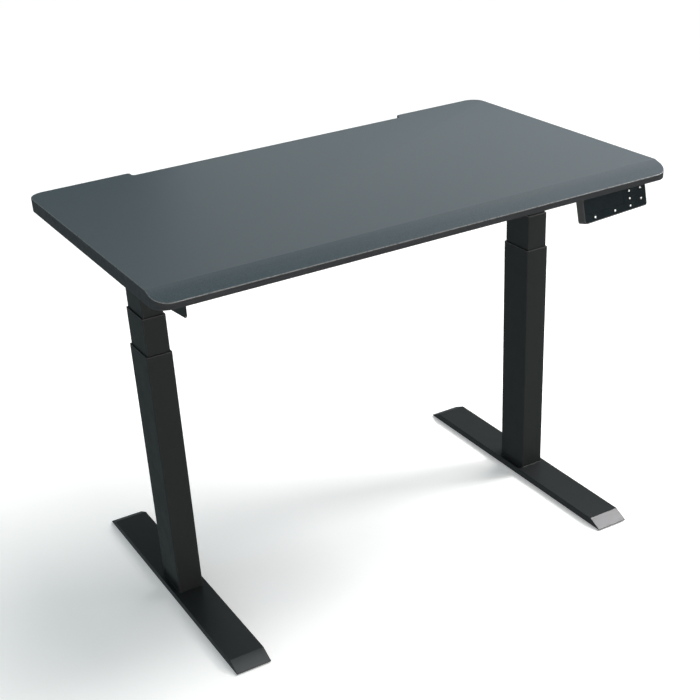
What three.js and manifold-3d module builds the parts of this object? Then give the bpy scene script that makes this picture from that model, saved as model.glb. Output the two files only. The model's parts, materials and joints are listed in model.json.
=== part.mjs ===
// Height adjustable standing desk: a two-motor, three-stage frame with a 1016 x 610 mm top.
// Millimetres, +Z up, +X to the sitter's right, -Y towards the sitter, floor at z = 0.
// The origin is on the floor below the centre of the desk. The desk stands at a sitting height.
import * as THREE from 'three';
import { mergeVertices } from 'three/addons/utils/BufferGeometryUtils.js';
import Module from 'manifold-3d';

const wasm = await Module();
wasm.setup();

// ---- driving sizes ----
const gap = 0.3; // left between pieces that touch
const slidingGap = 0.2; // on each side of a glide ring
const cutMargin = 1; // how far a cutter runs past the face that it opens

const deskWidth = 1016;
const deskDepth = 610;
const deskThickness = 25;
const deskTop = 746;
const deskCornerRadius = 30;
const slopeDepth = 42; // the front edge falls away over this depth
const slopeDrop = 13.8;
const notchWidth = 606; // cable notch in the rear edge
const notchDepth = 18.7;
const notchRadius = 6;

const footOverhang = 8; // how far the feet reach in front of the desktop
const footWidth = 70;
const footBottom = 2.5;
const footThickness = 15;
const footWall = 2.5;
const footBevelLength = 28.5;
const footTipHeight = 1.5;

const glidePadRadius = 17;
const glidePadHeight = 5;
const glideStemRadius = 4;
const glideStemTop = 14.2;
const glideBossRadius = 9;
const glideInset = 62; // from each end of the foot

const columnInset = 91; // from the end of the desktop to the column's centre
const columnY = 3;
const tubeWall = 1.5;
const tubeCornerRadius = 2.5;
const outerSection = [50, 80];
const midSection = [45, 75];
const innerSection = [40, 70];
const guideLip = 1.2;
const guideSkirt = 60;
const midExposed = 72; // how much of the middle tube shows at this height
const innerExposed = 79;
const basePlateThickness = 6;
const bearingPlateThickness = 8;

const restDrop = 135; // from this height down to the lowest
const restRise = 515; // and up to the highest
const bottomGap = 6.7; // left under the middle tube at the lowest height
const innerBottomGap = 17.5;

const shaftAcrossFlats = 8;
const sleeveRadius = 12;
const sleeveBoreRadius = 9.5;
const sleeveCapThickness = 10;
const sleeveFlangeRadius = 15;
const postRadius = 7.4;
const postBoreRadius = 5.5;
const postHeadRadius = 9.3;
const postHeadLength = 30;
const postEngagement = 50; // post top above the sleeve's lower end at full height
const nutHeight = 30;
const nutMargin = 13; // sleeve left above the nut at full height
const shaftMargin = 15; // shaft left below the sleeve's cap at full height
const runningGap = 0.4;
const smallestCorner = 0.5; // of a rounded outline after it is inset

const padThickness = 2;
const padRadius = 11;
const headDepth = 42.1; // column head, from its underside to the frame's top
const headPlate = 4;
const headFlange = 3;
const headOverhang = 5; // past the tube on the inner side, and past the gearbox front and rear
const gearboxSize = [52, 76, 35];
const gearboxCorner = 6;
const shaftBelowGearboxTop = 10;
const shaftBoreClearance = 1.5; // around the shaft inside the gearbox
const motorRadius = 18;
const motorLength = 92;
const motorCapRadius = 13;
const motorCapLength = 6;
const motorShoulder = 2;
const motorEndTaper = [6, 3]; // length and drop in radius at the far end
const bracketLength = 530;
const bracketBehindHandset = 5;
const bracketSheet = 2.5;
const bracketLip = 6;
const bracketTopFlange = 30;
const bracketTipDepth = 35.7;
const bracketTaper = 90; // length of each tapering end
const bracketChamfer = 4;
const bracketClearance = 1.5; // between the bracket's web and the widest piece beside it
const railSection = [25, 28];
const railWall = 1.5;
const railOverlap = 120;

const boxSize = [240, 100, 36]; // control box
const boxWall = 2;
const boxY = 170;
const inletSize = [28, 20, 21]; // mains inlet: width, height, reach into the box
const inletLip = 1.5; // stands out of the box
const inletWall = 4;
const inletFloor = 4; // behind its socket
const cableSocket = [14, 10]; // one for each motor and one for the handset
const cableSocketPitch = 30;
const cableSocketHeight = 12; // above the box's underside
const boardInset = 6; // from the box's walls and its lid
const boardFromInlet = 4;

const handsetWidth = 155;
const handsetHeight = 44.3;
const handsetDepth = 17.2;
const handsetTilt = THREE.MathUtils.degToRad(12.7);
const handsetYaw = THREE.MathUtils.degToRad(5);
const handsetFromRight = 199.5; // desktop's right end to the handset's left end
const handsetBehindEdge = 4; // its left end behind the desktop's front edge
const handsetRim = 1.5;
const handsetCorner = 5;
const handsetWall = 3.4;
const handsetBackWall = 2;
const cavityFromTop = 4.4; // the handset's cavity below its upper edge
const handsetFlange = [110, 45, 3]; // fixing flange: width, reach under the desktop, thickness
const handsetFlangeInset = 10; // from the handset's left end
const panelThickness = 2;
const displayWidth = 92;
const displayPlace = [7, 5]; // its left edge and its top edge on the face
const displayRecess = 0.2; // behind the panel's face
const displayAboveKeys = 3.8; // left between the display and the bottom row of keys
const keySize = [10, 7];
const keyFlange = 0.6; // on each side of the cap, behind the panel
const keyProud = 0.4;
const keyFlangeThickness = 0.8;
const keyTravel = 0.6;
const boardThickness = 1.6;
const keyTopRow = 9.5; // from the face's upper edge
const keyBottomRow = 8; // from its lower edge
const downKeyDrop = 19.3; // down key below the up key
const directionKeysFromRight = 13.5;
const presetKeysFromRight = 41.5;
const memoryKeyFromLeft = 25.5;
const reminderKeyFromLeft = 74.7;

// ---- worked out from them ----
const bracketFromColumn = Math.max(gearboxSize[0], outerSection[0]) / 2 + bracketClearance;
const footLength = deskDepth + footOverhang;
const deskFront = footOverhang - footLength / 2;
const deskRear = deskFront + deskDepth;
const deskUnder = deskTop - deskThickness;
const footTop = footBottom + footThickness;
const columnX = deskWidth / 2 - columnInset;
const frameTop = deskUnder - padThickness - 2 * gap;
const headBottom = frameTop - headDepth;
const innerTop = headBottom - gap;
const midTop = innerTop + gap - innerExposed;
const outerTop = midTop - midExposed;
const plateTop = footTop + gap + basePlateThickness;
const midBottom = plateTop + bottomGap + restDrop / 2;
const bearingTop = midBottom + bearingPlateThickness;
const innerBottom = bearingTop + innerBottomGap + restDrop / 2;
const nutTop = innerBottom + nutHeight;
const sleeveBottom = midBottom + bearingPlateThickness + gap;
const sleeveTop = nutTop + restRise / 2 + nutMargin;
const postTop = midBottom + restRise / 2 + postEngagement;
const shaftBottom = sleeveTop - sleeveCapThickness - restRise / 2 - shaftMargin;

const keyRows = [keyTopRow, (keyTopRow + handsetHeight - keyBottomRow) / 2, handsetHeight - keyBottomRow];
const presetKeyX = handsetWidth - presetKeysFromRight;
const directionKeyX = handsetWidth - directionKeysFromRight;
const keyPlaces = {
  memory_key: [memoryKeyFromLeft, keyRows[2]],
  reminder_key: [reminderKeyFromLeft, keyRows[2]],
  preset_3_key: [presetKeyX, keyRows[2]],
  preset_2_key: [presetKeyX, keyRows[1]],
  preset_1_key: [presetKeyX, keyRows[0]],
  down_key: [directionKeyX, keyTopRow + downKeyDrop],
  up_key: [directionKeyX, keyTopRow],
};

// The side brackets' ends, from the columns' centre line; the front ends clear the handset.
const handsetReach = handsetWidth * Math.sin(handsetYaw) + handsetDepth * Math.cos(handsetTilt);
const handsetBack = handsetBehindEdge + handsetReach;
const bracketFront = deskFront + handsetBack + bracketBehindHandset - columnY;
const bracketRear = bracketFront + bracketLength;

// ---- materials ----
const paint = () => material(0x1b1c1d, 0.45, 0.3);
const laminate = () => material(0x4b5157, 0.55, 0);
const steel = () => material(0x9a9c9e, 0.35, 1);
const darkPlastic = () => material(0x151617, 0.5, 0);
const glossPlastic = () => material(0x0b0d0f, 0.15, 0);
const rubber = () => material(0x101010, 0.9, 0);
const nylon = () => material(0x202122, 0.6, 0);
const circuit = () => material(0x1d5a36, 0.6, 0);
const zinc = () => material(0xb0b2b4, 0.4, 1);

function material(color, roughness, metalness) {
  return new THREE.MeshStandardMaterial({ color, roughness, metalness });
}

// ---- solids ----
function solid(geometry) {
  const bare = geometry.index ? geometry.toNonIndexed() : geometry.clone();
  bare.deleteAttribute('normal');
  bare.deleteAttribute('uv');
  const merged = mergeVertices(bare, 1e-4);
  const vertProperties = new Float32Array(merged.attributes.position.array);
  const triVerts = new Uint32Array(merged.index.array);
  return new wasm.Manifold(new wasm.Mesh({ numProp: 3, vertProperties, triVerts }));
}

function toGeometry(body) {
  const mesh = body.getMesh();
  const geometry = new THREE.BufferGeometry();
  geometry.setAttribute('position', new THREE.Float32BufferAttribute(mesh.vertProperties, 3));
  geometry.setIndex(new THREE.Uint32BufferAttribute(mesh.triVerts, 1));
  const flat = geometry.toNonIndexed();
  flat.computeVertexNormals();
  return flat;
}

function named(name, body, look, parent) {
  const mesh = new THREE.Mesh(toGeometry(body), look);
  mesh.name = name;
  parent.add(mesh);
  return mesh;
}

function box(x, y, z) {
  const [x0, x1] = [Math.min(...x), Math.max(...x)];
  const geometry = new THREE.BoxGeometry(x1 - x0, y[1] - y[0], z[1] - z[0]);
  geometry.translate((x0 + x1) / 2, (y[0] + y[1]) / 2, (z[0] + z[1]) / 2);
  return solid(geometry);
}

function cylinder(radius, z0, z1, x = 0, y = 0, sides = 24) {
  const geometry = new THREE.CylinderGeometry(radius, radius, z1 - z0, sides);
  geometry.rotateX(Math.PI / 2);
  geometry.translate(x, y, (z0 + z1) / 2);
  return solid(geometry);
}

function hexBar(acrossFlats, z0, z1) {
  return cylinder(acrossFlats / Math.sqrt(3), z0, z1, 0, 0, 6);
}

// A rectangle centred on the origin, its corners rounded.
function roundedRectangle(width, depth, radius) {
  const [w, d] = [width / 2, depth / 2];
  const shape = new THREE.Shape();
  shape.moveTo(-w + radius, -d);
  shape.absarc(w - radius, -d + radius, radius, -Math.PI / 2, 0);
  shape.absarc(w - radius, d - radius, radius, 0, Math.PI / 2);
  shape.absarc(-w + radius, d - radius, radius, Math.PI / 2, Math.PI);
  shape.absarc(-w + radius, -d + radius, radius, Math.PI, 1.5 * Math.PI);
  shape.closePath();
  return shape;
}

function upright(shape, z0, z1, curveSegments = 4) {
  const geometry = new THREE.ExtrudeGeometry(shape, {
    depth: z1 - z0, bevelEnabled: false, curveSegments,
  });
  geometry.translate(0, 0, z0);
  return solid(geometry);
}

// A closed outline of [y, z] points, carried along X from x0 to x1.
function alongX(points, x0, x1) {
  const shape = new THREE.Shape(points.map(([y, z]) => new THREE.Vector2(y, z)));
  const low = Math.min(x0, x1);
  const geometry = new THREE.ExtrudeGeometry(shape, { depth: Math.abs(x1 - x0), bevelEnabled: false });
  const turned = new THREE.Matrix4().makeBasis(
    new THREE.Vector3(0, 1, 0), new THREE.Vector3(0, 0, 1), new THREE.Vector3(1, 0, 0),
  );
  geometry.applyMatrix4(turned);
  geometry.translate(low, 0, 0);
  return solid(geometry);
}

// A square tube with rounded corners, standing from z0 to z1.
function squareTube([width, depth], wall, radius, z0, z1) {
  const outside = upright(roundedRectangle(width, depth, radius), z0, z1);
  const insideRadius = Math.max(radius - wall, smallestCorner);
  const inside = roundedRectangle(width - 2 * wall, depth - 2 * wall, insideRadius);
  return outside.subtract(upright(inside, z0 - cutMargin, z1 + cutMargin));
}

// ---- desktop ----
function deskOutline() {
  const shape = new THREE.Shape();
  const [w, r, n, q] = [deskWidth / 2, deskCornerRadius, notchWidth / 2, notchRadius];
  shape.moveTo(-w + r, deskFront);
  shape.absarc(w - r, deskFront + r, r, -Math.PI / 2, 0);
  shape.absarc(w - r, deskRear - r, r, 0, Math.PI / 2);
  shape.absarc(n + q, deskRear - q, q, Math.PI / 2, Math.PI);
  shape.absarc(n - q, deskRear - notchDepth + q, q, 0, -Math.PI / 2, true);
  shape.absarc(-n + q, deskRear - notchDepth + q, q, -Math.PI / 2, -Math.PI, true);
  shape.absarc(-n - q, deskRear - q, q, 0, Math.PI / 2);
  shape.absarc(-w + r, deskRear - r, r, Math.PI / 2, Math.PI);
  shape.absarc(-w + r, deskFront + r, r, Math.PI, 1.5 * Math.PI);
  shape.closePath();
  return shape;
}

function desktop() {
  const plan = upright(deskOutline(), deskUnder - cutMargin, deskTop + cutMargin, 8);
  const side = [
    [deskFront, deskUnder], [deskRear, deskUnder], [deskRear, deskTop],
    [deskFront + slopeDepth, deskTop], [deskFront, deskTop - slopeDrop],
  ];
  return plan.intersect(alongX(side, -deskWidth / 2, deskWidth / 2));
}

// ---- foot and levelling glides ----
// The foot's side outline: a low bar whose ends slope down to a thin tip.
function footOutline() {
  const half = footLength / 2;
  const flat = half - footBevelLength;
  return [
    [-half, footBottom], [half, footBottom], [half, footBottom + footTipHeight],
    [flat, footTop], [-flat, footTop], [-half, footBottom + footTipHeight],
  ];
}

// The hollow under the foot, parallel to the outline and one wall inside it.
function footHollow() {
  const rise = footThickness - footTipHeight;
  const slope = Math.atan2(rise, footBevelLength);
  const tip = footLength / 2 + footTipHeight / Math.tan(slope) - footWall / Math.sin(slope);
  const ceiling = footTop - footWall;
  const upper = tip - (ceiling - footBottom) / Math.tan(slope);
  const lower = tip + cutMargin / Math.tan(slope);
  const floor = footBottom - cutMargin;
  return [[-lower, floor], [lower, floor], [upper, ceiling], [-upper, ceiling]];
}

const glideYs = { front: glideInset - footLength / 2, rear: footLength / 2 - glideInset };

function foot(x) {
  let body = alongX(footOutline(), x - footWidth / 2, x + footWidth / 2);
  const inner = footWidth / 2 - footWall;
  body = body.subtract(alongX(footHollow(), x - inner, x + inner));
  for (const y of Object.values(glideYs)) {
    const ceiling = footTop - footWall + gap;
    body = body.add(cylinder(glideBossRadius, glidePadHeight + gap, ceiling, x, y));
    const holeTop = glideStemTop + gap;
    body = body.subtract(cylinder(glideStemRadius + gap, glidePadHeight - cutMargin, holeTop, x, y));
  }
  return body;
}

function glide(x, y) {
  const profile = [
    [0, 0], [glidePadRadius - 1, 0], [glidePadRadius, 1], [glidePadRadius, glidePadHeight],
    [glideStemRadius, glidePadHeight], [glideStemRadius, glideStemTop], [0, glideStemTop],
  ];
  const geometry = new THREE.LatheGeometry(profile.map(([r, z]) => new THREE.Vector2(r, z)), 24);
  geometry.rotateX(Math.PI / 2);
  geometry.translate(x, y, 0);
  return solid(geometry);
}

// ---- lifting column, built about its own centre line ----
// A glide ring: a lip on the tube's end and a thin skirt between the two tubes.
function guideRing(outer, inner, top) {
  const skirtOuter = outer.map((size) => size - 2 * tubeWall - 2 * slidingGap);
  const skirtInner = inner.map((size) => size + 2 * slidingGap);
  const skirtWall = (skirtOuter[0] - skirtInner[0]) / 2;
  const lip = squareTube(outer, (outer[0] - skirtInner[0]) / 2, tubeCornerRadius, top - guideLip, top);
  const skirt = squareTube(skirtOuter, skirtWall, tubeCornerRadius - tubeWall, top - guideSkirt, top - gap);
  return lip.add(skirt);
}

function stageTube(section, z0, top) {
  return squareTube(section, tubeWall, tubeCornerRadius, z0, top);
}

function plateInside(section, z0, z1) {
  const inside = section.map((size) => size - 2 * tubeWall - 2 * gap);
  return upright(roundedRectangle(...inside, tubeCornerRadius - tubeWall), z0, z1);
}

function bearingPlate() {
  const plate = plateInside(midSection, midBottom, bearingTop);
  return plate.subtract(cylinder(sleeveRadius + runningGap, midBottom - cutMargin, bearingTop + cutMargin));
}

// The threaded sleeve hangs in the bearing plate on its flange and carries a hexagonal cap.
function screwSleeve() {
  let body = cylinder(sleeveRadius, midBottom, sleeveTop);
  body = body.add(cylinder(sleeveFlangeRadius, sleeveBottom, sleeveBottom + headPlate));
  const capBottom = sleeveTop - sleeveCapThickness;
  body = body.subtract(cylinder(sleeveBoreRadius, midBottom - cutMargin, capBottom));
  const hexagon = hexBar(shaftAcrossFlats + 2 * slidingGap, capBottom - cutMargin, sleeveTop + cutMargin);
  return body.subtract(hexagon);
}

function liftPost() {
  let body = cylinder(postRadius, plateTop + gap, postTop);
  body = body.add(cylinder(postHeadRadius, postTop - postHeadLength, postTop));
  return body.subtract(cylinder(postBoreRadius, plateTop, postTop + cutMargin));
}

function innerNut() {
  const block = plateInside(innerSection, innerBottom, nutTop);
  return block.subtract(cylinder(sleeveRadius + runningGap, innerBottom - cutMargin, nutTop + cutMargin));
}

function driveShaft(top) {
  return hexBar(shaftAcrossFlats, shaftBottom, top);
}

// ---- head of the column ----
const gearboxBottom = headBottom + headPlate + gap;
const shaftTop = gearboxBottom + gearboxSize[2] - shaftBelowGearboxTop;
const flangeY = gearboxSize[1] / 2 + headOverhang; // inner face of the head's front and rear flanges
const webX = bracketFromColumn - gap; // outer end of the head, just inside the bracket

function columnHead(out) {
  const x = [-out * (outerSection[0] / 2 + headOverhang), out * webX];
  const y = flangeY + headFlange;
  let body = box(x, [-y, y], [headBottom, headBottom + headPlate]);
  for (const side of [-1, 1]) {
    const ys = [side * flangeY, side * y].sort((a, b) => a - b);
    body = body.add(box(x, ys, [headBottom, frameTop]));
  }
  const plateBottom = headBottom - cutMargin;
  return body.subtract(cylinder(shaftAcrossFlats, plateBottom, headBottom + headPlate + cutMargin));
}

function gearbox() {
  const [w, d, h] = gearboxSize;
  const body = upright(roundedRectangle(w, d, gearboxCorner), gearboxBottom, gearboxBottom + h);
  const boreRadius = shaftAcrossFlats / 2 + shaftBoreClearance;
  return body.subtract(cylinder(boreRadius, gearboxBottom - cutMargin, shaftTop + gap));
}

function motor(out) {
  const [taper, drop] = motorEndTaper;
  const profile = [
    [0, 0], [motorCapRadius, 0], [motorCapRadius, motorCapLength],
    [motorRadius, motorCapLength + motorShoulder], [motorRadius, motorLength - taper],
    [motorRadius - drop, motorLength], [0, motorLength],
  ];
  const geometry = new THREE.LatheGeometry(profile.map(([r, z]) => new THREE.Vector2(r, z)), 24);
  geometry.rotateZ(out * Math.PI / 2);
  geometry.translate(-out * (gearboxSize[0] / 2 + gap), 0, gearboxBottom + gearboxSize[2] / 2);
  return solid(geometry);
}

// Side bracket: folded sheet with a top flange, a web whose ends taper up, and a narrow lower
// lip along the straight stretch between the tapers.
function sideBracket(out) {
  const low = headBottom - gap - bracketSheet;
  const tip = frameTop - bracketTipDepth;
  const straight = [bracketFront + bracketTaper, bracketRear - bracketTaper];
  const outline = [
    [bracketFront, frameTop], [bracketFront, tip + bracketChamfer], [bracketFront + bracketChamfer, tip],
    [straight[0], low], [straight[1], low],
    [bracketRear - bracketChamfer, tip], [bracketRear, tip + bracketChamfer], [bracketRear, frameTop],
  ];
  const webOutside = bracketFromColumn + bracketSheet;
  const web = alongX(outline, out * bracketFromColumn, out * webOutside);
  const lipX = [out * (bracketFromColumn - bracketLip), out * webOutside];
  const lip = box(lipX, straight, [low, low + bracketSheet]);
  const flangeX = [out * bracketFromColumn, out * (webOutside + bracketTopFlange)];
  const flange = box(flangeX, [bracketFront, bracketRear], [frameTop - bracketSheet, frameTop]);
  return web.add(lip).add(flange);
}

// One lifting leg. out is -1 for the left leg and +1 for the right one.
function leg(name, out, group) {
  const x = out * columnX;
  named(`${name}_foot`, foot(x), paint(), group);
  for (const [end, y] of Object.entries(glideYs)) {
    named(`${name}_${end}_levelling_glide`, glide(x, y), rubber(), group);
  }
  const column = new THREE.Group();
  column.position.set(x, columnY, 0);
  group.add(column);
  const add = (part, body, look) => named(`${name}_${part}`, body, look, column);
  const lipRoom = guideLip + gap;
  add('base_plate', plateInside(outerSection, footTop + gap, plateTop), steel());
  add('outer_tube', stageTube(outerSection, footTop + gap, outerTop - lipRoom), paint());
  add('outer_guide', guideRing(outerSection, midSection, outerTop), nylon());
  add('middle_tube', stageTube(midSection, midBottom, midTop - lipRoom), paint());
  add('middle_guide', guideRing(midSection, innerSection, midTop), nylon());
  add('bearing_plate', bearingPlate(), steel());
  add('inner_tube', stageTube(innerSection, innerBottom, innerTop), paint());
  add('inner_nut', innerNut(), nylon());
  add('screw_sleeve', screwSleeve(), steel());
  add('lift_post', liftPost(), steel());
  add('drive_shaft', driveShaft(shaftTop), steel());
  add('column_head', columnHead(out), paint());
  add('gearbox', gearbox(), zinc());
  add('motor', motor(out), zinc());
  add('side_bracket', sideBracket(out), paint());
  const padX = out * (bracketFromColumn + bracketSheet + bracketTopFlange / 2);
  const padZ = frameTop + gap;
  const padInset = padRadius + bracketChamfer;
  const padYs = {
    front: bracketFront + padInset,
    rear: Math.min(bracketRear, deskRear - columnY) - padInset, // on the bracket and below the desktop
  };
  for (const [end, padY] of Object.entries(padYs)) {
    add(`${end}_desk_pad`, cylinder(padRadius, padZ, padZ + padThickness, padX, padY), rubber());
  }
}

// ---- crossbars: each is a left rail with a right rail sliding inside it ----
function rail([width, height], x, y) {
  const z = [frameTop - railSection[1] / 2 - height / 2, frameTop - railSection[1] / 2 + height / 2];
  const w = width / 2;
  const inside = box([x[0] - cutMargin, x[1] + cutMargin], [y - w + railWall, y + w - railWall],
    [z[0] + railWall, z[1] - railWall]);
  return box(x, [y - w, y + w], z).subtract(inside);
}

function crossbars(group) {
  const end = columnX + outerSection[0] / 2;
  const smaller = railSection.map((size) => size - 2 * railWall - 2 * gap);
  for (const [name, side] of [['front', -1], ['rear', 1]]) {
    const y = columnY + side * (flangeY + headFlange + gap + railSection[0] / 2);
    named(`${name}_crossbar_left`, rail(railSection, [-end, railOverlap / 2], y), paint(), group);
    named(`${name}_crossbar_right`, rail(smaller, [-railOverlap / 2, end], y), paint(), group);
  }
}

// ---- control box, its lid below ----
function controlBox(group) {
  const [w, d, h] = boxSize;
  const top = deskUnder - gap;
  const place = new THREE.Group();
  place.position.set(0, boxY, top - h);
  group.add(place);
  const [x, y] = [w / 2, d / 2];
  const lidRoom = boxWall + gap;
  let housing = box([-x, x], [-y, y], [lidRoom, h]);
  const cavity = box([-x + boxWall, x - boxWall], [-y + boxWall, y - boxWall], [0, h - boxWall]);
  housing = housing.subtract(cavity);

  const [inletWidth, inletHeight, inletReach] = inletSize;
  const inletZ = [h / 2 - inletHeight / 2, h / 2 + inletHeight / 2];
  const inletHalf = inletWidth / 2;
  const inletHole = box([x - boxWall - cutMargin, x + cutMargin], [-inletHalf - gap, inletHalf + gap],
    [inletZ[0] - gap, inletZ[1] + gap]);
  housing = housing.subtract(inletHole);
  const [socketHalf, socketHeight] = [cableSocket[0] / 2, cableSocket[1]];
  for (const i of [-1, 0, 1]) {
    const socketX = i * cableSocketPitch;
    const hole = box([socketX - socketHalf, socketX + socketHalf],
      [-y - cutMargin, -y + boxWall + cutMargin], [cableSocketHeight, cableSocketHeight + socketHeight]);
    housing = housing.subtract(hole);
  }
  named('control_box_housing', housing, darkPlastic(), place);
  named('control_box_lid', box([-x, x], [-y, y], [0, boxWall]), darkPlastic(), place);

  const inlet = box([x - inletReach, x + inletLip], [-inletHalf, inletHalf], inletZ);
  const socketY = inletHalf - inletWall;
  const socket = box([x - inletReach + inletFloor, x + inletLip + cutMargin], [-socketY, socketY],
    [inletZ[0] + inletWall, inletZ[1] - inletWall]);
  named('mains_inlet', inlet.subtract(socket), darkPlastic(), place);

  const boardX = [-x + boardInset, x - inletReach - boardFromInlet];
  const board = box(boardX, [-y + boardInset, y - boardInset], [boardInset, boardInset + boardThickness]);
  named('control_circuit_board', board, circuit(), place);
}

// ---- handset: X along its face, Y into it, Z up, from the face's top left corner ----
function handset(group) {
  const place = new THREE.Group();
  place.position.set(deskWidth / 2 - handsetFromRight, deskFront + handsetBehindEdge, deskUnder - gap);
  place.rotation.z = handsetYaw;
  group.add(place);
  const face = new THREE.Group();
  face.rotation.x = -handsetTilt;
  place.add(face);
  const [w, h, d] = [handsetWidth, handsetHeight, handsetDepth];
  const faceTurn = new THREE.Matrix4().makeRotationX(-handsetTilt);
  const faceBox = (x, y, z) => box(x, y, z).transform([...faceTurn.elements]);
  // The face's outline, inset from its edges, carried into the handset from one depth to another.
  const facePlate = (inset, from, to) => {
    const corner = Math.max(handsetCorner - inset, smallestCorner);
    const shape = roundedRectangle(w - 2 * inset, h - 2 * inset, corner);
    const plate = new THREE.ExtrudeGeometry(shape, {
      depth: to - from, bevelEnabled: false, curveSegments: 6,
    });
    plate.rotateX(Math.PI / 2);
    plate.translate(w / 2, to, -h / 2);
    return solid(plate);
  };
  const turnedPlate = (...span) => facePlate(...span).transform([...faceTurn.elements]);

  const [sin, cos] = [Math.sin(handsetTilt), Math.cos(handsetTilt)];
  const [flangeWidth, flangeReach, flangeThickness] = handsetFlange;
  const wedge = [[0, 0], [-h * sin / 2, -h * cos / 2], [d * cos, -d * sin], [d * cos, 0]];
  const flangeX = [handsetFlangeInset, handsetFlangeInset + flangeWidth];
  let casing = turnedPlate(0, 0, d).add(alongX(wedge, 0, w));
  casing = casing.add(box(flangeX, [d / 2, flangeReach], [-flangeThickness, 0]));
  const recess = panelThickness + gap;
  const rim = handsetRim;
  casing = casing.subtract(turnedPlate(rim, -cutMargin, recess));
  const inside = [handsetWall, w - handsetWall];
  const cavity = faceBox(inside, [recess - cutMargin, d - handsetBackWall],
    [-h + handsetWall, -cavityFromTop]);
  casing = casing.subtract(cavity);
  named('handset_casing', casing, darkPlastic(), place);

  let panel = facePlate(rim + gap, 0, panelThickness);
  const [displayX, displayDown] = displayPlace;
  const displayBottom = h - keyBottomRow - keySize[1] / 2 - displayAboveKeys;
  const through = [-cutMargin, panelThickness + cutMargin];
  const displaySpan = [displayX, displayX + displayWidth];
  panel = panel.subtract(box(displaySpan, through, [-displayBottom, -displayDown]));
  for (const [keyX, keyDown] of Object.values(keyPlaces)) {
    const [kw, kh] = keySize.map((size) => size / 2 + gap);
    panel = panel.subtract(box([keyX - kw, keyX + kw], through, [-keyDown - kh, -keyDown + kh]));
  }
  named('handset_panel', panel, glossPlastic(), face);

  const window = box([displayX + gap, displayX + displayWidth - gap], [displayRecess, panelThickness],
    [-displayBottom + gap, -displayDown - gap]);
  named('handset_display', window, glossPlastic(), face);

  const capBack = panelThickness + gap;
  for (const [name, [keyX, keyDown]] of Object.entries(keyPlaces)) {
    const [kw, kh] = keySize.map((size) => size / 2);
    const cap = box([keyX - kw, keyX + kw], [-keyProud, capBack], [-keyDown - kh, -keyDown + kh]);
    const [fw, fh] = [kw + keyFlange + gap, kh + keyFlange];
    const flange = box([keyX - fw, keyX + fw], [capBack, capBack + keyFlangeThickness],
      [-keyDown - fh, -keyDown + fh]);
    named(name, cap.add(flange), glossPlastic(), face);
  }

  const boardFront = capBack + keyFlangeThickness + keyTravel + gap;
  const board = box([handsetWall + gap, w - handsetWall - gap], [boardFront, boardFront + boardThickness],
    [-h + handsetWall + gap, -cavityFromTop - gap]);
  named('handset_circuit_board', board, circuit(), face);
}

// ---- the whole desk ----
const desk = new THREE.Group();
named('desktop', desktop(), laminate(), desk);
leg('left', -1, desk);
leg('right', 1, desk);
crossbars(desk);
controlBox(desk);
handset(desk);

export default desk;
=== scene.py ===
"""The looks of a height adjustable standing desk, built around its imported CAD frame. Metres, +Z up."""
import json
import math

import bmesh
import bpy
from mathutils import Matrix, Vector


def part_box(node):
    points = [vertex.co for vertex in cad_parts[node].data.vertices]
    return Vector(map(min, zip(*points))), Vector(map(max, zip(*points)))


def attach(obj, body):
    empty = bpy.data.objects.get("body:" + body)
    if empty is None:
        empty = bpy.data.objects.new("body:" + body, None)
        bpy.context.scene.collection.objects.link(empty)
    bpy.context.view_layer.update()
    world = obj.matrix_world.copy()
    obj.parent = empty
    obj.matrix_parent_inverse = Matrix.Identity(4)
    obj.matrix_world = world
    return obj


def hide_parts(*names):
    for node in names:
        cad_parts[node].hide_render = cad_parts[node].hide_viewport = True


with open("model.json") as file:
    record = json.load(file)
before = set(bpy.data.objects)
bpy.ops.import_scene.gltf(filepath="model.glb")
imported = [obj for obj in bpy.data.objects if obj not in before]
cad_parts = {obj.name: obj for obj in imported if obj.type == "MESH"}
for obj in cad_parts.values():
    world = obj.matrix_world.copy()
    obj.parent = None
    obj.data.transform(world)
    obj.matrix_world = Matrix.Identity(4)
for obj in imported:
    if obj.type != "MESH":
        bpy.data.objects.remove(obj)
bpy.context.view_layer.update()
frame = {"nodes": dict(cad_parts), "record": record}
nodes = frame["nodes"]
MM = 0.001


# ---- camera ----
CAMERA_PLACE = (-1.1275, -1.9979, 1.4844)
CAMERA_ANGLES = (-27.78, 30.6, 3.76)  # azimuth, elevation and roll, degrees
CAMERA_SENSOR, CAMERA_LENS = 36, 65.9  # mm
CAMERA_SHIFT = (0.030, 0.1743)


def make_camera():
    azimuth, elevation, roll = map(math.radians, CAMERA_ANGLES)
    back = Vector((
        math.sin(azimuth) * math.cos(elevation),
        -math.cos(azimuth) * math.cos(elevation),
        math.sin(elevation),
    ))
    right = (-back).cross(Vector((0, 0, 1))).normalized()
    up = back.cross(right)
    axis_x = math.cos(roll) * right - math.sin(roll) * up
    axis_y = math.sin(roll) * right + math.cos(roll) * up
    camera = bpy.data.objects.new("camera", bpy.data.cameras.new("camera"))
    bpy.context.scene.collection.objects.link(camera)
    turn = Matrix((axis_x, axis_y, back)).transposed()
    camera.matrix_world = Matrix.Translation(CAMERA_PLACE) @ turn.to_4x4()
    camera.data.sensor_width = CAMERA_SENSOR
    camera.data.lens = CAMERA_LENS
    camera.data.shift_x, camera.data.shift_y = CAMERA_SHIFT
    bpy.context.scene.camera = camera
    bpy.context.scene.view_settings.view_transform = "Standard"


# ---- material helpers ----
NOISE_LOW, NOISE_HIGH = 0.3, 0.7  # a noise texture mostly stays between these
# Pointiness at which the painted edge highlight starts, and where it is full
PAINTED_HIGHLIGHT_START, PAINTED_HIGHLIGHT_END = 0.52, 0.58  # from flat surface to sharp edge
MIX_INPUTS, MIX_RESULT = (0, 6, 7), 2  # the factor and the two colours, and their blend


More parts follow.
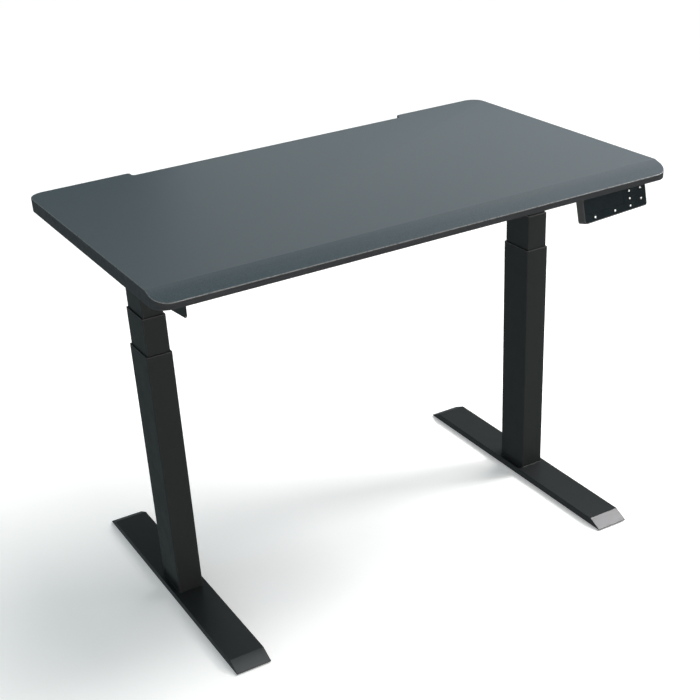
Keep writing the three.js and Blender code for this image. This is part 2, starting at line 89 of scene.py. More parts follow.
class Look:
    """A principled material with short names for the nodes that it is built from."""

    def __init__(self, name, color, roughness, metallic=0.0):
        self.material = bpy.data.materials.new(name)
        self.material.use_nodes = True
        self.tree = self.material.node_tree
        self.shader = self.tree.nodes["Principled BSDF"]
        self.shader.inputs["Base Color"].default_value = (*color, 1)
        self.shader.inputs["Roughness"].default_value = roughness
        self.shader.inputs["Metallic"].default_value = metallic
        self.place = self.add("ShaderNodeTexCoord").outputs["Object"]

    def add(self, kind, **values):
        node = self.tree.nodes.new(kind)
        for key, value in values.items():
            if key in node.inputs:
                node.inputs[key].default_value = value
            else:
                setattr(node, key, value)
        return node

    def join(self, source, target):
        self.tree.links.new(source, target)

    def stretched(self, scale):
        mapping = self.add("ShaderNodeMapping")
        mapping.inputs["Scale"].default_value = scale
        self.join(self.place, mapping.inputs["Vector"])
        return mapping.outputs["Vector"]

    def noise(self, scale, detail=3.0, place=None, roughness=0.55):
        node = self.add("ShaderNodeTexNoise", Scale=scale, Detail=detail, Roughness=roughness)
        self.join(place or self.place, node.inputs["Vector"])
        return node.outputs["Fac"]

    def cells(self, scale):
        node = self.add("ShaderNodeTexVoronoi", Scale=scale)
        self.join(self.place, node.inputs["Vector"])
        return node.outputs["Distance"]

    def ramp(self, source, first, second, start=NOISE_LOW, end=NOISE_HIGH):
        """A colour that goes from the first to the second as the source goes from start to end."""
        node = self.add("ShaderNodeValToRGB")
        stops = ((start, first), (end, second))
        for element, (position, color) in zip(node.color_ramp.elements, stops):
            element.position = position
            element.color = (*color, 1)
        self.join(source, node.inputs["Fac"])
        return node.outputs["Color"]

    def span(self, source, low, high, start=NOISE_LOW, end=NOISE_HIGH):
        """A number that goes from low to high as the source goes from start to end."""
        node = self.add("ShaderNodeMapRange")
        for key, value in zip(("From Min", "From Max", "To Min", "To Max"), (start, end, low, high)):
            node.inputs[key].default_value = value
        self.join(source, node.inputs["Value"])
        return node.outputs["Result"]

    def mix(self, factor, first, second):
        """A blend of two colours; the factor and each colour are a plain value or a node's output."""
        node = self.add("ShaderNodeMix", data_type="RGBA")
        for index, value in zip(MIX_INPUTS, (factor, first, second)):
            socket = node.inputs[index]
            if isinstance(value, float):
                socket.default_value = value
            elif isinstance(value, tuple):
                socket.default_value = (*value, 1)
            else:
                self.join(value, socket)
        return node.outputs[MIX_RESULT]

    def color(self, source):
        self.join(source, self.shader.inputs["Base Color"])

    def roughness(self, source):
        self.join(source, self.shader.inputs["Roughness"])

    def bump(self, height, distance, strength, under=None):
        node = self.add("ShaderNodeBump", Distance=distance, Strength=strength)
        self.join(height, node.inputs["Height"])
        if under:
            self.join(under, node.inputs["Normal"])
        self.join(node.outputs["Normal"], self.shader.inputs["Normal"])
        return node.outputs["Normal"]

    def edges(self):
        """1 on sharp outer edges, where a painted highlight lightens the colour, and 0 elsewhere."""
        pointiness = self.add("ShaderNodeNewGeometry").outputs["Pointiness"]
        return self.span(pointiness, 0, 1, PAINTED_HIGHLIGHT_START, PAINTED_HIGHLIGHT_END)


# ---- materials ----
def laminate():
    look = Look("laminate", (0.047, 0.064, 0.072), 0.45)
    look.shader.inputs["Specular IOR Level"].default_value = 0.35
    fine = look.noise(1800, 3)
    coarse = look.noise(480, 6, roughness=0.72)
    dots = look.ramp(fine, (0.026, 0.037, 0.043), (0.058, 0.080, 0.093))
    flecks = look.ramp(coarse, (0.021, 0.031, 0.036), (0.066, 0.090, 0.104), 0.38, 0.62)
    speckle = look.mix(0.5, dots, flecks)
    # Sharp edges are painted light grey: a painted highlight along the board's rims.
    look.color(look.mix(look.edges(), speckle, (0.12, 0.13, 0.14)))
    look.roughness(look.span(coarse, 0.38, 0.48))
    pores = look.bump(fine, 0.05 * MM, 0.5)
    look.bump(coarse, 0.12 * MM, 0.45, pores)
    return look.material


def painted_edge_highlight():
    """A lighter colour on the desktop's rounded upper edge: a painted highlight, the bright line along its
    top rim.
    """
    look = Look("painted_edge_highlight", (0.12, 0.125, 0.13), 0.3)
    highlight_noise = look.noise(260, 3)
    look.color(look.ramp(highlight_noise, (0.09, 0.095, 0.10), (0.17, 0.175, 0.18)))
    look.roughness(look.span(highlight_noise, 0.24, 0.36))
    look.bump(highlight_noise, 0.05 * MM, 0.4)
    return look.material


def edge_band():
    look = Look("edge_band", (0.023, 0.025, 0.028), 0.5)
    grain = look.noise(60, 4, look.stretched((0.25, 0.25, 14)))
    look.color(look.ramp(grain, (0.017, 0.0185, 0.021), (0.029, 0.031, 0.035)))
    look.roughness(look.span(look.noise(90), 0.42, 0.55))
    look.bump(grain, 0.1 * MM, 0.5)
    return look.material


def powder_coat():
    look = Look("powder_coat", (0.006, 0.0085, 0.009), 0.42)
    look.shader.inputs["Specular IOR Level"].default_value = 0.1
    look.shader.inputs["Coat Weight"].default_value = 0.2
    look.shader.inputs["Coat Roughness"].default_value = 0.16
    peel = look.noise(1100, 2)
    specks = look.cells(900)
    body = look.ramp(peel, (0.0042, 0.0066, 0.0070), (0.0078, 0.0104, 0.0108))
    # Sharp edges are painted lighter grey: a painted highlight on the rims of tubes and feet.
    look.color(look.mix(look.edges(), body, (0.04, 0.042, 0.043)))
    look.roughness(look.span(look.noise(30, 4), 0.38, 0.48))
    fine = look.bump(peel, 0.09 * MM, 0.6)
    look.bump(specks, 0.06 * MM, 0.35, fine)
    return look.material


def plain_steel():
    look = Look("plain_steel", (0.45, 0.45, 0.46), 0.32, 1.0)
    turned = look.noise(160, 3, look.stretched((1, 1, 12)))
    look.color(look.ramp(turned, (0.36, 0.36, 0.37), (0.52, 0.52, 0.53)))
    look.roughness(look.span(turned, 0.26, 0.42))
    look.bump(turned, 0.05 * MM, 0.5)
    return look.material


def zinc_housing():
    look = Look("zinc_housing", (0.38, 0.39, 0.40), 0.42, 1.0)
    cast = look.noise(420, 4)
    look.color(look.ramp(cast, (0.30, 0.31, 0.32), (0.45, 0.46, 0.47)))
    look.roughness(look.span(look.noise(60), 0.36, 0.52))
    look.bump(cast, 0.1 * MM, 0.5)
    return look.material


def moulded(name, color, roughness, texture=1600):
    look = Look(name, color, roughness)
    spark = look.noise(texture, 3)
    light = tuple(min(1, value * 1.35) for value in color)
    look.color(look.ramp(spark, color, light))
    look.roughness(look.span(look.noise(40, 4), roughness - 0.06, roughness + 0.06))
    look.bump(spark, 0.07 * MM, 0.5)
    return look.material


def gloss_black():
    look = Look("gloss_black", (0.006, 0.009, 0.011), 0.12)
    smudge = look.noise(55, 5)
    look.color(look.ramp(smudge, (0.005, 0.008, 0.010), (0.008, 0.012, 0.014)))
    look.roughness(look.span(smudge, 0.08, 0.22))
    look.bump(look.noise(160, 2), 0.02 * MM, 0.3)
    return look.material


def circuit_board():
    look = Look("circuit_board", (0.02, 0.12, 0.05), 0.4)
    tracks = look.cells(260)
    look.color(look.ramp(tracks, (0.10, 0.28, 0.12), (0.015, 0.09, 0.035), 0.15, 0.3))
    look.roughness(look.span(look.noise(120), 0.3, 0.5))
    look.bump(tracks, 0.08 * MM, 0.5)
    return look.material


def printed_white():
    look = Look("printed_white", (0.85, 0.87, 0.88), 0.45)
    ink = look.noise(2400, 2)
    look.color(look.ramp(ink, (0.80, 0.82, 0.84), (0.92, 0.93, 0.93)))
    look.roughness(look.span(ink, 0.4, 0.5))
    look.bump(ink, 0.02 * MM, 0.4)
    return look.material


def pale_floor():
    look = Look("pale_floor", (0.95, 0.95, 0.94), 0.8)
    look.shader.inputs["Emission Color"].default_value = (1, 1, 1, 1)
    look.shader.inputs["Emission Strength"].default_value = 0.3
    look.roughness(look.span(look.noise(3), 0.65, 0.75))
    return look.material


def pale_wall():
    """Plain white from every side, whatever light falls on it."""
    look = Look("pale_wall", (0, 0, 0), 1)
    look.shader.inputs["Specular IOR Level"].default_value = 0
    look.shader.inputs["Emission Color"].default_value = (1, 1, 1, 1)
    look.shader.inputs["Emission Strength"].default_value = 1
    return look.material


MATERIALS = {
    "laminate": laminate(),
    "black_powder_coat": powder_coat(),
    "plain_steel": plain_steel(),
    "zinc_housing": zinc_housing(),
    "nylon": moulded("nylon", (0.045, 0.045, 0.045), 0.42),
    "rubber": moulded("rubber", (0.012, 0.012, 0.012), 0.8, 900),
    "dark_plastic": moulded("dark_plastic", (0.042, 0.043, 0.044), 0.45),
    "gloss_black": gloss_black(),
    "circuit_board": circuit_board(),
    "edge_band": edge_band(),
    "painted_edge_highlight": painted_edge_highlight(),
    "printed_white": printed_white(),
}


# ---- mesh helpers ----
SHARP_ANGLE = 30
FINE_EDGES = (0.12 * MM, 2, SHARP_ANGLE)  # width, segments and angle, as finish_edges takes them


def piece(name, mesh, slot, body, edges):
    obj = bpy.data.objects.new(name, mesh)
    bpy.context.scene.collection.objects.link(obj)
    mesh.materials.append(MATERIALS[slot])
    finish_edges(obj, *edges)
    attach(obj, body)
    return obj


def finish_edges(obj, width, segments=2, angle=SHARP_ANGLE):
    """Rounds edges sharper than an angle in degrees a little, and keeps the flat faces flat."""
    for polygon in obj.data.polygons:
        polygon.use_smooth = True
    bevel = obj.modifiers.new("edges", "BEVEL")
    bevel.width = width
    bevel.segments = segments
    bevel.limit_method = "ANGLE"
    bevel.angle_limit = math.radians(angle)
    obj.modifiers.new("normals", "WEIGHTED_NORMAL").keep_sharp = True


def mesh_from(build, name):
    bm = bmesh.new()
    build(bm)
    bmesh.ops.recalc_face_normals(bm, faces=bm.faces)
    mesh = bpy.data.meshes.new(name)
    bm.to_mesh(mesh)
    bm.free()
    return mesh


def arc(centre, radius, start, end, steps=16):
    """Points of an arc in the XY plane, angles in quarter turns."""
    quarter = math.pi / 2
    angles = [quarter * (start + (end - start) * i / steps) for i in range(steps + 1)]
    return [(centre[0] + radius * math.cos(a), centre[1] + radius * math.sin(a)) for a in angles]


def rings_solid(bm, loops):
    """A closed solid through matching loops of points, capped at the first and the last loop."""
    rings = [[bm.verts.new(point) for point in loop] for loop in loops]
    for lower, upper in zip(rings, rings[1:]):
        for i in range(len(lower)):
            j = (i + 1) % len(lower)
            bm.faces.new((lower[i], lower[j], upper[j], upper[i]))
    bm.faces.new(rings[0])
    bm.faces.new(rings[-1])


def facing(at, axis):
    """A frame at a point whose Z looks along the axis."""
    return Matrix.Translation(at) @ Vector(axis).to_track_quat("Z", "Y").to_matrix().to_4x4()


def hexagon_radius(angle, half_flats):
    sector = math.pi / 3
    return half_flats / math.cos(angle % sector - sector / 2)


def turned_loops(profile, place, sides=24):
    """Loops of a turned profile of (radius, height) in mm; a third value makes a loop hexagonal."""
    loops = []
    for radius, height, *hexed in profile:
        loop = []
        for i in range(sides):
            a = 2 * math.pi * i / sides
            reach = hexagon_radius(a, radius) if hexed else radius
            loop.append(place @ (Vector((reach * math.cos(a), reach * math.sin(a), height)) * MM))
        loops.append(loop)
    return loops


def rectangle_loop(place, width, height, depth):
    """A rectangle in mm, centred on a frame's Z axis, at a height along it."""
    corners = ((-1, -1), (1, -1), (1, 1), (-1, 1))
    return [place @ (Vector((i * width / 2, j * height / 2, depth)) * MM) for i, j in corners]


# ---- desktop ----
CORNER = 30 * MM
NOTCH_HALF, NOTCH_DEPTH, NOTCH_CORNER = 303 * MM, 18.7 * MM, 6 * MM
SLOPE_DEPTH, SLOPE_DROP = 42 * MM, 13.8 * MM
TOP_ROUND, BOTTOM_ROUND = 1.1 * MM, 0.5 * MM
TOP_STEPS, BOTTOM_STEPS = 4, 2
# The third slot is the painted highlight on the board's rounded upper edge.
LAMINATE, EDGE_BAND, PAINTED_HIGHLIGHT = 0, 1, 2  # the board's material slots
BOARD_CREASE = math.radians(25)
SAME_PLACE = 1e-6


def desk_outline(low, high, inset):
    """The board's plan, moved inwards by inset, with the same points whatever the inset is."""
    r, n, q = CORNER - inset, NOTCH_HALF, NOTCH_CORNER - inset
    wide = NOTCH_CORNER + inset
    floor = high.y - NOTCH_DEPTH + NOTCH_CORNER
    left, right = low.x + CORNER, high.x - CORNER
    front, rear = low.y + CORNER, high.y - CORNER
    bend = low.y + SLOPE_DEPTH
    outline = arc((right, front), r, -1, 0)
    outline += [(high.x - inset, bend)]
    outline += arc((right, rear), r, 0, 1)
    outline += arc((n + NOTCH_CORNER, high.y - NOTCH_CORNER), q, 1, 2, 8)
    outline += arc((n - NOTCH_CORNER, floor), wide, 0, -1, 8)
    outline += arc((-n + NOTCH_CORNER, floor), wide, -1, -2, 8)
    outline += arc((-n - NOTCH_CORNER, high.y - NOTCH_CORNER), q, 0, 1, 8)
    outline += arc((left, rear), r, 1, 2)
    outline += [(low.x + inset, bend)]
    outline += arc((left, front), r, 2, 3)
    return outline


def rounded_edge(radius, steps):
    """Inset and drop of each ring of a rounded upper edge, from the side to the top."""
    angles = [math.pi / 2 * i / steps for i in range(steps + 1)]
    return [(radius * (1 - math.cos(a)), radius * (1 - math.sin(a))) for a in angles]


def make_desktop():
    low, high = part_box("desktop")
    bend = low.y + SLOPE_DEPTH

    def top_at(y):
        return high.z - SLOPE_DROP * max(0, bend - y) / SLOPE_DEPTH

    def build(bm):
        rings = []
        for inset, drop in reversed(rounded_edge(BOTTOM_ROUND, BOTTOM_STEPS)):
            rings.append([bm.verts.new((x, y, low.z + drop)) for x, y in desk_outline(low, high, inset)])
        for inset, drop in rounded_edge(TOP_ROUND, TOP_STEPS):
            outline = desk_outline(low, high, inset)
            rings.append([bm.verts.new((x, y, top_at(y) - drop)) for x, y in outline])
        bm.faces.new(rings[0])
        for k, (lower, upper) in enumerate(zip(rings, rings[1:])):
            for i in range(len(lower)):
                j = (i + 1) % len(lower)
                face = bm.faces.new((lower[i], lower[j], upper[j], upper[i]))
                # The rounded upper rings take the painted highlight colour, the lower ones the edge band.
                face.material_index = EDGE_BAND if k <= BOTTOM_STEPS else PAINTED_HIGHLIGHT
        upper = rings[-1]
        flat = [v for v in upper if v.co.y >= bend - SAME_PLACE]
        slope = [v for v in upper if v.co.y <= bend + SAME_PLACE]
        for corners in (flat, [v for v in slope if v.co.x <= 0] + [v for v in slope if v.co.x > 0]):
            bm.faces.new(corners).material_index = LAMINATE
        for edge in bm.edges:
            edge.smooth = len(edge.link_faces) == 2 and edge.calc_face_angle(0) < BOARD_CREASE
        crease = [e for e in bm.edges if all(abs(v.co.y - bend) < SAME_PLACE for v in e.verts)]
        for edge in crease:
            edge.smooth = False

    mesh = mesh_from(build, "desk_board")
    for polygon in mesh.polygons:
        polygon.use_smooth = True
    board = bpy.data.objects.new("desk_board", mesh)
    bpy.context.scene.collection.objects.link(board)
    for slot in ("laminate", "edge_band", "painted_edge_highlight"):
        mesh.materials.append(MATERIALS[slot])
    board.modifiers.new("normals", "WEIGHTED_NORMAL").keep_sharp = True
    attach(board, "top")
    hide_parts("desktop")


# ---- handset details ----
FACE_YAW, FACE_TILT = math.radians(5), math.radians(12.7)
FLANGE_SCREWS = ((25, 36), (105, 36))  # across and behind the face's upper left corner, mm
FLANGE_THICKNESS = 3 * MM
KEYS = ("memory", "reminder", "preset_1", "preset_2", "preset_3", "up", "down")
ARROWS = {"up": 1, "down": -1}
DOT, ARROW = (20, 1.95), (3, 2.7)  # corners and radius of a print, mm
PRINT_LEVELS = (-0.02, 0.06)  # from just inside the key to just proud of it, mm
PRINT_EDGES = (0.02 * MM, 1, SHARP_ANGLE)
FACE_MARGIN = 0.01 * MM


def handset_turns():
    yaw = Matrix.Rotation(FACE_YAW, 4, "Z")
    return yaw, yaw @ Matrix.Rotation(-FACE_TILT, 4, "X")


def front_points(node, turn):
    """The points of a node's front face, in the handset's turned frame."""
    points = [turn.inverted() @ v.co for v in nodes[node].data.vertices]
    front = min(p.y for p in points)
    return [p for p in points if p.y < front + FACE_MARGIN]


def make_icons():
    """A small white print on each key: dots, and triangles on up and down."""
    turn = handset_turns()[1]
    for key in KEYS:
        cap = front_points(f"{key}_key", turn)
        centre = sum(cap, Vector()) / len(cap)
        arrow = ARROWS.get(key, 0)
        steps, radius = ARROW if arrow else DOT
        place = turn @ facing(centre, (0, -1, 0))
        first = math.pi / 2 * (arrow or 1)
        angles = [first + 2 * math.pi * i / steps for i in range(steps)]
        loops = [
            [place @ (Vector((radius * math.cos(a), radius * math.sin(a), z)) * MM) for a in angles]
            for z in PRINT_LEVELS
        ]
        mesh = mesh_from(lambda bm: rings_solid(bm, loops), f"{key}_icon")
        icon = piece(f"{key}_icon", mesh, "printed_white", f"{key}_key_body", PRINT_EDGES)


def handset_screw_places():
    yaw, turn = handset_turns()
    front = front_points("handset_casing", turn)
    corner = turn @ Vector((min(p.x for p in front), front[0].y, max(p.z for p in front)))
    return [corner + yaw @ Vector((x * MM, y * MM, -FLANGE_THICKNESS)) for x, y in FLANGE_SCREWS]


# ---- screws ----
DOWN = (0, 0, -1)
SCREW_HEAD = ((4.4, 0.05), (4.4, 1.1), (3.8, 2.1), (2.9, 2.5), (1.7, 2.5, True), (1.6, 0.9, True))
BRACKET_FLANGE = 30 * MM
BRACKET_SHEET = 2.5 * MM
SIDES = (("left", -1), ("right", 1))
# Sizes of the heads against SCREW_HEAD, and their places as shares of the piece that they hold.
BRACKET_BOLT, CROSSBAR_BOLT, CLAMP_SCREW = 1.25, 1.1, 0.9
HANDSET_SCREW, BOX_SCREW, GEARBOX_SCREW = 0.8, 0.75, 0.7
DESKTOP_SCREWS_Y = (0.1, 0.37, 0.63, 0.9)
BRACKET_BOLTS_Y, BRACKET_BOLTS_Z = (0.2, 0.8), (0.3, 0.72)
CROSSBAR_BOLTS_X = CLAMP_SCREWS_X = (0.25, 0.75)
GEARBOX_SCREWS_Y, GEARBOX_SCREWS_Z = (0.18, 0.82), (0.2, 0.8)
BOX_SCREWS_X, BOX_SCREWS_Y = (0.04, 0.96), (0.1, 0.9)


def make_screws(name, places, axis, slot="black_powder_coat", scale=1.0):
    """One object that holds a group of alike screw heads, each with a hexagonal socket."""
    profile = [(r * scale, z * scale, *hexed) for r, z, *hexed in SCREW_HEAD]

    def build(bm):
        for at in places:
            rings_solid(bm, turned_loops(profile, facing(at, axis)))

    screws = piece(name, mesh_from(build, name), slot, "top", FINE_EDGES)


def between(low, high, shares):
    return [low + (high - low) * share for share in shares]


def make_frame_screws():
    for side, out in SIDES:
        low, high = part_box(f"{side}_side_bracket")
        outer = high.x if out > 0 else low.x
        flange_x, flange_z = outer - out * BRACKET_FLANGE / 2, high.z - BRACKET_SHEET
        places = [Vector((flange_x, y, flange_z)) for y in between(low.y, high.y, DESKTOP_SCREWS_Y)]
        make_screws(f"{side}_desktop_screws", places, DOWN, "plain_steel")

        head_low, head_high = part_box(f"{side}_column_head")
        web_x = outer - out * BRACKET_FLANGE
        places = [
            Vector((web_x, y, z))
            for y in between(head_low.y, head_high.y, BRACKET_BOLTS_Y)
            for z in between(head_low.z, head_high.z, BRACKET_BOLTS_Z)
        ]
        make_screws(f"{side}_bracket_bolts", places, (out, 0, 0), scale=BRACKET_BOLT)

        head_x = between(head_low.x, head_high.x, CROSSBAR_BOLTS_X)
        for end, facing_y in (("front", -1), ("rear", 1)):
            low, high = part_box(f"{end}_crossbar_{side}")
            y = low.y if facing_y < 0 else high.y
            places = [Vector((x, y, (low.z + high.z) / 2)) for x in head_x]
            make_screws(f"{end}_crossbar_{side}_bolts", places, (0, facing_y, 0), scale=CROSSBAR_BOLT)

        low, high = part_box(f"{side}_gearbox")
        inner = low.x if out > 0 else high.x
        places = [
            Vector((inner, y, z))
            for y in between(low.y, high.y, GEARBOX_SCREWS_Y)
            for z in between(low.z, high.z, GEARBOX_SCREWS_Z)
        ]
        make_screws(f"{side}_gearbox_screws", places, (-out, 0, 0), "plain_steel", GEARBOX_SCREW)


def make_other_screws():
    for end in ("front", "rear"):
        low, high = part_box(f"{end}_crossbar_left")
        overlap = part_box(f"{end}_crossbar_right")[0].x
        y = (low.y + high.y) / 2
        places = [Vector((x, y, low.z)) for x in between(overlap, high.x, CLAMP_SCREWS_X)]
        make_screws(f"{end}_crossbar_clamp_screws", places, DOWN, scale=CLAMP_SCREW)

    low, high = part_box("control_box_lid")
    xs, ys = between(low.x, high.x, BOX_SCREWS_X), between(low.y, high.y, BOX_SCREWS_Y)
    places = [Vector((x, y, low.z)) for x in xs for y in ys]
    make_screws("control_box_screws", places, DOWN, "plain_steel", BOX_SCREW)
    make_screws("handset_screws", handset_screw_places(), DOWN, "plain_steel", HANDSET_SCREW)


# ---- motors, sockets and welds ----
BAND_PLACES = (0.16, 0.9)  # along the motor, from the gearbox
MOTOR_CAP = ((7.5, 0.05), (7.5, 1.2), (6.8, 1.9), (3.2, 1.9), (2.8, 0.8))
BAND_HALF, BAND_CLEARANCE, BAND_THICKNESS = 1.6, 0.05, 0.7
SOCKET_SIZE, SOCKET_PITCH, SOCKET_HEIGHT = (13.2, 9.2), 30 * MM, 17 * MM
SOCKET_WALL, SOCKET_DEPTH, SOCKET_FLOOR, SOCKET_RECESS = 1.1, 9, 2, 0.4
BEAD = ((0.1, 0.1), (1.9, 0.1), (1.5, 0.9), (0.9, 1.5), (0.1, 1.9))  # outward and up, mm
BEAD_STEPS, BEAD_RIPPLES, BEAD_RIPPLE = 20, 3, 0.12
BEAD_EDGES = (0.1 * MM, 1, 60)
TRIM_EDGES, SOCKET_EDGES = (0.1 * MM, 2, SHARP_ANGLE), (0.15 * MM, 2, SHARP_ANGLE)
BAND_SIDES, CAP_SIDES = 48, 32
BAND_CROWN = 0.7  # how much of the band's width is flat
TUBE_CORNER, CORNER_STEPS = 2.5 * MM, 4


def band_loops(inner, outer, half, place):
    """A plain ring: loops around its section, joined end to end by the caller."""
    crown = half * BAND_CROWN
    section = ((inner, -half), (outer, -crown), (outer, crown), (inner, half))
    loops = []
    for i in range(BAND_SIDES):
        a = 2 * math.pi * i / BAND_SIDES
        loops.append([place @ (Vector((r * math.cos(a), r * math.sin(a), z)) * MM) for r, z in section])
    return loops


def closed_sweep(bm, loops):
    rings = [[bm.verts.new(point) for point in loop] for loop in loops]
    for ring, after in zip(rings, rings[1:] + rings[:1]):
        for i in range(len(ring)):
            j = (i + 1) % len(ring)
            bm.faces.new((ring[i], ring[j], after[j], after[i]))


def make_motor_details():
    for side, out in SIDES:
        low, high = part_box(f"{side}_motor")
        near, far = (high.x, low.x) if out > 0 else (low.x, high.x)
        centre = (low + high) / 2
        radius = (high.z - low.z) / 2 / MM

        def build(bm):
            for share in BAND_PLACES:
                at = Vector((near + (far - near) * share, centre.y, centre.z))
                inner = radius + BAND_CLEARANCE
                place = facing(at, (-out, 0, 0))
                closed_sweep(bm, band_loops(inner, inner + BAND_THICKNESS, BAND_HALF, place))
            end = Vector((far, centre.y, centre.z))
            rings_solid(bm, turned_loops(MOTOR_CAP, facing(end, (-out, 0, 0)), CAP_SIDES))

        mesh = mesh_from(build, f"{side}_motor_trim")
        trim = piece(f"{side}_motor_trim", mesh, "plain_steel", "top", TRIM_EDGES)


def make_cable_sockets():
    low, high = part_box("control_box_housing")
    centre = (low.x + high.x) / 2
    width, height = SOCKET_SIZE
    inner = (width - 2 * SOCKET_WALL, height - 2 * SOCKET_WALL)

    def build(bm):
        for i in (-1, 0, 1):
            at = Vector((centre + i * SOCKET_PITCH, low.y, low.z + SOCKET_HEIGHT))
            place = facing(at, (0, -1, 0))
            outside, inside = (-SOCKET_DEPTH, -SOCKET_RECESS), (-SOCKET_RECESS, SOCKET_FLOOR - SOCKET_DEPTH)
            loops = [rectangle_loop(place, width, height, depth) for depth in outside]
            loops += [rectangle_loop(place, *inner, depth) for depth in inside]
            rings_solid(bm, loops)

    sockets = piece("cable_sockets", mesh_from(build, "cable_sockets"), "nylon", "top", SOCKET_EDGES)


def bead_path(low, high, corner):
    """Points around a tube's rounded outline, each with its outward direction."""
    path = []
    for k, (x, y) in enumerate(((high.x, high.y), (low.x, high.y), (low.x, low.y), (high.x, low.y))):
        centre = Vector((x - math.copysign(corner, x - (low.x + high.x) / 2),
                         y - math.copysign(corner, y - (low.y + high.y) / 2)))
        for i in range(CORNER_STEPS + 1):
            a = math.pi / 2 * (k + i / CORNER_STEPS)
            out = Vector((math.cos(a), math.sin(a)))
            path.append((centre + corner * out, out))
    spread = []
    for (start, out_a), (end, out_b) in zip(path, path[1:] + path[:1]):
        steps = BEAD_STEPS if (end - start).length > 2 * corner else 1
        for i in range(steps):
            spread.append((start.lerp(end, i / steps), out_a.lerp(out_b, i / steps).normalized()))
    return spread


def make_weld_beads():
    for side, _ in SIDES:
        low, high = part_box(f"{side}_outer_tube")
        foot_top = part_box(f"{side}_foot")[1].z
        loops = []
        for n, (at, outward) in enumerate(bead_path(low, high, TUBE_CORNER)):
            swell = 1 + BEAD_RIPPLE * math.sin(2 * math.pi * n / BEAD_RIPPLES)
            reach = [(o * swell * MM, u * swell * MM) for o, u in BEAD]
            loops.append([Vector((*(at + outward * o), foot_top + u)) for o, u in reach])
        mesh = mesh_from(lambda bm: closed_sweep(bm, loops), f"{side}_weld_bead")
        bead = piece(f"{side}_weld_bead", mesh, "black_powder_coat", "base", BEAD_EDGES)


# ---- CAD nodes that stay ----
# Width of the rounding in mm, by the last word of a node's name.
EDGE_WIDTHS = {
    "foot": 0.7, "tube": 0.25, "key": 0.25, "motor": 0.8, "gearbox": 1.5, "casing": 1.0, "guide": 0.35,
}
OTHER_WIDTH = 0.4
EDGE_ANGLES = {"foot": 15}
WELD_DISTANCE = 0.01 * MM


def dress_nodes():
    slots = {part["node"]: part["material_slot"] for part in frame["record"]["subparts"]}
    for name, obj in nodes.items():
        obj.data.materials.clear()
        obj.data.materials.append(MATERIALS[slots[name]])
        weld = obj.modifiers.new("weld", "WELD")
        weld.merge_threshold = WELD_DISTANCE
        kind = name.split("_")[-1]
        width = EDGE_WIDTHS.get(kind, OTHER_WIDTH) * MM
        finish_edges(obj, width, angle=EDGE_ANGLES.get(kind, SHARP_ANGLE))


# ---- studio ----
FLOOR_HALF, BACKDROP_RADIUS = 12, 16
WORLD_COLOR, WORLD_STRENGTH = (0.80, 0.97, 1.0), 0.2
SUN_COLOR, SUN_STRENGTH, SUN_ANGLE = (1, 0.97, 0.94), 2.4, 50
SUN_DIRECTION = (-0.567, 0.026, -0.824)
# Each softbox: where it stands, where it points, its width and height, power in watts, colour, and
# whether it shows in reflections. The key and overhead ones are mirrored in the feet's front bevels and
# the rear one in the desktop; the front one only fills the shadows.
SOFTBOXES = {
    "key": ((1.66, -0.37, 1.81), (0.417, -0.309, 0), (0.4, 0.4), 22, (1, 0.98, 1), True),
    "overhead": ((0.404, -0.39, 2.6), (-0.417, -0.309, 0), (0.54, 0.54), 8, (0.9, 0.98, 1), True),
    "rear": ((0.84, 1.0, 1.14), (0.15, 0, 0.746), (1.53, 0.38), 1.85, (0.95, 0.99, 1), True),
    "upper": ((1.5, 0.7, 2.2), (0.3, -0.28, 0.74), (0.8, 0.5), 3, (1, 0.97, 1), True),
    "front": ((-0.2, -3.2, 0.15), (0, 0, 0.35), (2.0, 0.3), 64, (1, 0.87, 0.78), False),
    "side": ((-3.0, 0.6, 0.9), (0, 0, 0.5), (1.5, 1.0), 7, (0.5, 0.82, 1), True),
}


def pointing(direction):
    """The turn of a lamp whose light goes along a direction."""
    return Vector(direction).to_track_quat("-Z", "Y").to_euler()


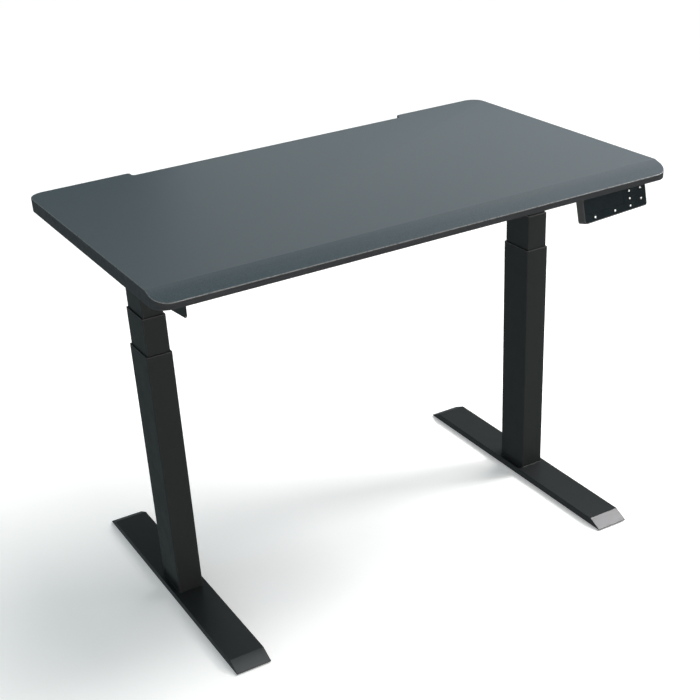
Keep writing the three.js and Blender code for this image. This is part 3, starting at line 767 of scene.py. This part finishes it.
def area_light(name, place, target, size, power, color, reflected):
    light = bpy.data.lights.new(name, "AREA")
    light.shape = "RECTANGLE"
    light.size, light.size_y = size
    light.energy = power
    light.color = color
    obj = bpy.data.objects.new(name, light)
    bpy.context.scene.collection.objects.link(obj)
    obj.location = place
    obj.rotation_euler = pointing(Vector(target) - Vector(place))
    obj.visible_camera = False
    obj.visible_glossy = reflected


def make_sun():
    sun = bpy.data.lights.new("sky_panel", "SUN")
    sun.energy = SUN_STRENGTH
    sun.color = SUN_COLOR
    sun.angle = math.radians(SUN_ANGLE)
    lamp = bpy.data.objects.new("sky_panel", sun)
    bpy.context.scene.collection.objects.link(lamp)
    lamp.rotation_euler = pointing(SUN_DIRECTION)
    lamp.visible_glossy = False


def make_world():
    world = bpy.data.worlds.new("studio")
    bpy.context.scene.world = world
    world.use_nodes = True
    background = world.node_tree.nodes["Background"]
    background.inputs["Color"].default_value = (*WORLD_COLOR, 1)
    background.inputs["Strength"].default_value = WORLD_STRENGTH


def make_backdrop():
    """A pale dome that only the camera sees, so that it neither lights nor shades the desk."""
    def build(bm):
        bmesh.ops.create_uvsphere(bm, u_segments=48, v_segments=24, radius=BACKDROP_RADIUS)

    mesh = mesh_from(build, "backdrop")
    mesh.materials.append(pale_wall())
    dome = bpy.data.objects.new("backdrop", mesh)
    bpy.context.scene.collection.objects.link(dome)
    dome.visible_diffuse = dome.visible_glossy = dome.visible_shadow = False


def make_floor():
    mesh = bpy.data.meshes.new("floor")
    s = FLOOR_HALF
    mesh.from_pydata([(-s, -s, 0), (s, -s, 0), (s, s, 0), (-s, s, 0)], [], [(0, 1, 2, 3)])
    mesh.materials.append(pale_floor())
    floor = bpy.data.objects.new("floor", mesh)
    bpy.context.scene.collection.objects.link(floor)
    floor.visible_glossy = False


def make_studio():
    make_backdrop()
    make_floor()
    make_world()
    make_sun()
    for name, softbox in SOFTBOXES.items():
        area_light(name, *softbox)


make_camera()
dress_nodes()
make_desktop()
make_icons()
make_frame_screws()
make_other_screws()
make_motor_details()
make_cable_sockets()
make_weld_beads()
make_studio()
